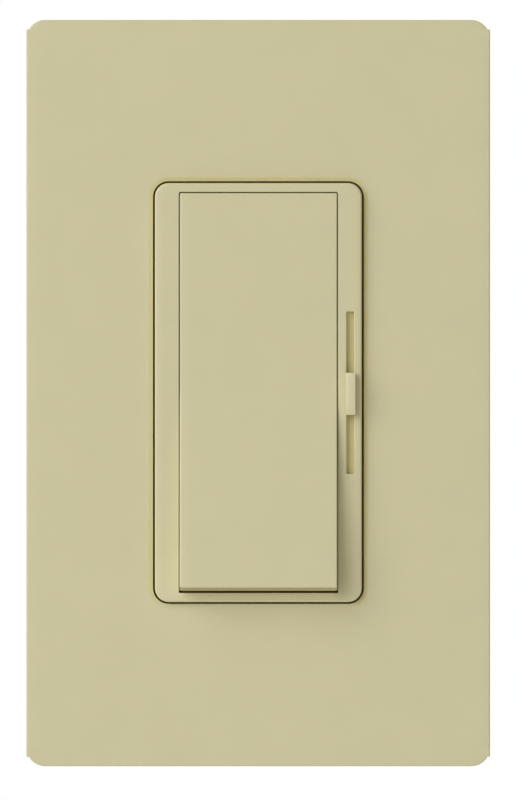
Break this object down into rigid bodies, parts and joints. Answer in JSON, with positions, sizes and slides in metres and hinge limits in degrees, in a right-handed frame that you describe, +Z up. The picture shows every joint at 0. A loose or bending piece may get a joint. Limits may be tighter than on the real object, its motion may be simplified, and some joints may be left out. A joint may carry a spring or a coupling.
{
  "type": "wall dimmer switch",
  "caption": "Decorator-style wall dimmer: large paddle switch and small linear slider in a screwless clip-on wallplate, on an aluminium yoke with a rear housing.",
  "frame": {"origin": "centre of the device on the wall surface, which is the plane of the pads on the yoke's back and of the wallplate's rear rim", "axes": "+X to the right as seen from the room, +Y into the wall, +Z up"},
  "size_m": [0.074, 0.0427, 0.119],
  "materials": {
    "ivory_face": "satin moulded ivory plastic",
    "ivory_inner": "plain moulded ivory plastic",
    "grey_plastic": "moulded charcoal thermoset, fine texture",
    "black_plastic": "moulded black plastic",
    "white_plastic": "natural acetal",
    "aluminium": "stamped aluminium, light brushing",
    "zinc_steel": "bright zinc plate",
    "tinned_steel": "tin plate",
    "spring_steel": "drawn spring wire",
    "brass": "stamped brass",
    "contact_silver": "silver alloy, dull",
    "copper_wire": "enamelled copper wire",
    "ferrite": "painted iron powder core",
    "red_fibre": "vulcanised fibre",
    "circuit_board": "phenolic board",
    "mica": "mica sheet",
    "green_screw": "green dyed zinc plate",
    "film_capacitor": "moulded film capacitor case",
    "resistor_body": "lacquered resistor",
    "diac_body": "lacquered small diode"
  },
  "bodies": {
    "device": {"face_bezel": "ivory_face", "adapter_plate": "ivory_inner", "back_housing": "grey_plastic", "triac": "black_plastic", "switch_base": "black_plastic", "yoke": "aluminium", "triac_rivet": "aluminium", "adapter_screw_upper": "zinc_steel", "adapter_screw_lower": "zinc_steel", "mounting_screw_upper": "zinc_steel", "mounting_screw_lower": "zinc_steel", "housing_screw_1": "zinc_steel", "housing_screw_2": "zinc_steel", "housing_screw_3": "zinc_steel", "housing_screw_4": "zinc_steel", "pot_frame": "tinned_steel", "paddle_return_spring": "spring_steel", "terminal_plate_line": "brass", "terminal_clamp_line": "brass", "terminal_screw_line": "brass", "terminal_plate_load": "brass", "terminal_clamp_load": "brass", "terminal_screw_load": "brass", "terminal_plate_traveller": "brass", "terminal_clamp_traveller": "brass", "terminal_screw_traveller": "brass", "fixed_contact_arm": "brass", "fixed_contact_tip": "contact_silver", "choke_winding": "copper_wire", "choke_core": "ferrite", "screw_retainer_upper": "red_fibre", "screw_retainer_lower": "red_fibre", "circuit_board": "circuit_board", "pot_track_board": "circuit_board", "triac_insulator": "mica", "ground_screw": "green_screw", "filter_capacitor": "film_capacitor", "timing_capacitor": "film_capacitor", "resistor_1": "resistor_body", "resistor_2": "resistor_body", "resistor_3": "resistor_body", "diac": "diac_body"},
    "cover": {"wallplate": "ivory_face"},
    "paddle": {"paddle": "ivory_face"},
    "plunger": {"switch_plunger": "white_plastic"},
    "contact_lever": {"contact_rocker": "white_plastic", "moving_contact_arm": "brass", "moving_contact_tip": "contact_silver"},
    "slider": {"slider_knob": "ivory_face", "slider_carriage": "ivory_inner", "pot_wiper": "white_plastic"}
  },
  "joints": [
    {"name": "paddle_press", "type": "hinge", "parent": "device", "child": "paddle", "pos_m": [0, -0.0045, 0.0305], "axis": [1, 0, 0], "range_deg": [0, 2.6], "stiffness_Nm_per_rad": 1, "springref_deg": -5.73},
    {"name": "plunger_slide", "type": "slide", "parent": "device", "child": "plunger", "axis": [0, 1, 0], "range_m": [0, 0.0023], "deforming": ["paddle_return_spring"]},
    {"name": "contact_toggle", "type": "hinge", "parent": "device", "child": "contact_lever", "pos_m": [0, 0.0054, -0.018], "axis": [1, 0, 0], "range_deg": [0, 14]},
    {"name": "slider_travel", "type": "slide", "parent": "device", "child": "slider", "axis": [0, 0, 1], "range_m": [-0.00915, 0.0095]},
    {"name": "wallplate_pull_off", "type": "slide", "parent": "device", "child": "cover", "axis": [0, -1, 0], "range_m": [0, 0.025]}
  ],
  "couplings": [
    {"joint": "plunger_slide", "follows": "paddle_press", "m_per_rad": 0.0485}
  ]
}
